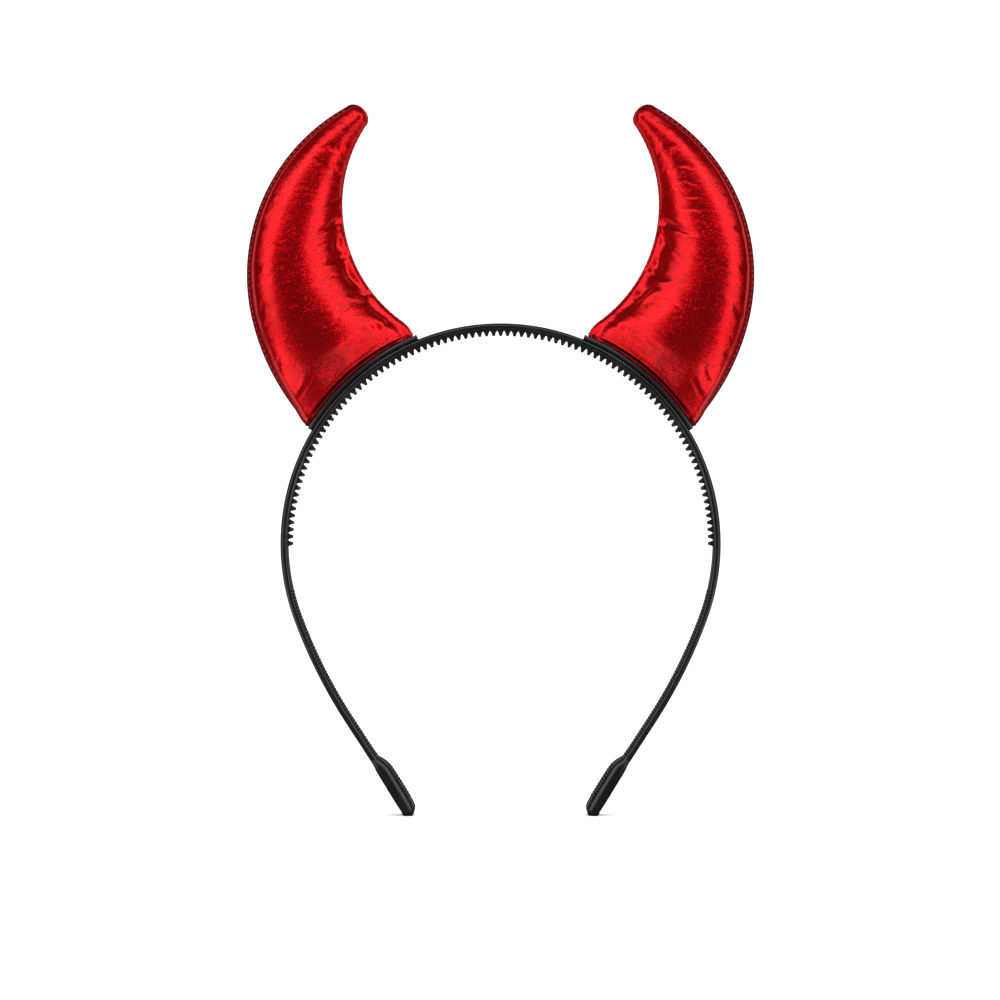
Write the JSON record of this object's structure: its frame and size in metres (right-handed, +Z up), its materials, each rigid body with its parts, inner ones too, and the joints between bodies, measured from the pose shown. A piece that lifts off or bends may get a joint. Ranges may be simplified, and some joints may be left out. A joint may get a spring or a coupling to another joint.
{
  "type": "devil horns headband",
  "caption": "Glossy black plastic comb headband standing on its tips, with padded, curved red foil-fabric devil horns on thin base strips.",
  "frame": {"origin": "middle of the footprint, on the surface that the two tips stand on", "axes": "+Z up to the horn tips, +X across the headband, +Y through its depth, away from the viewer of the picture"},
  "size_m": [0.1494, 0.0208, 0.2091],
  "materials": {
    "black_plastic": "glossy moulded black plastic",
    "black_strip": "plain black strip",
    "red_foil_fabric": "crinkled red foil-coated fabric"
  },
  "bodies": {
    "root": {"comb_band": "black_plastic", "base_strip_left": "black_strip", "base_strip_right": "black_strip", "horn_left": "red_foil_fabric", "horn_right": "red_foil_fabric"}
  },
  "joints": []
}
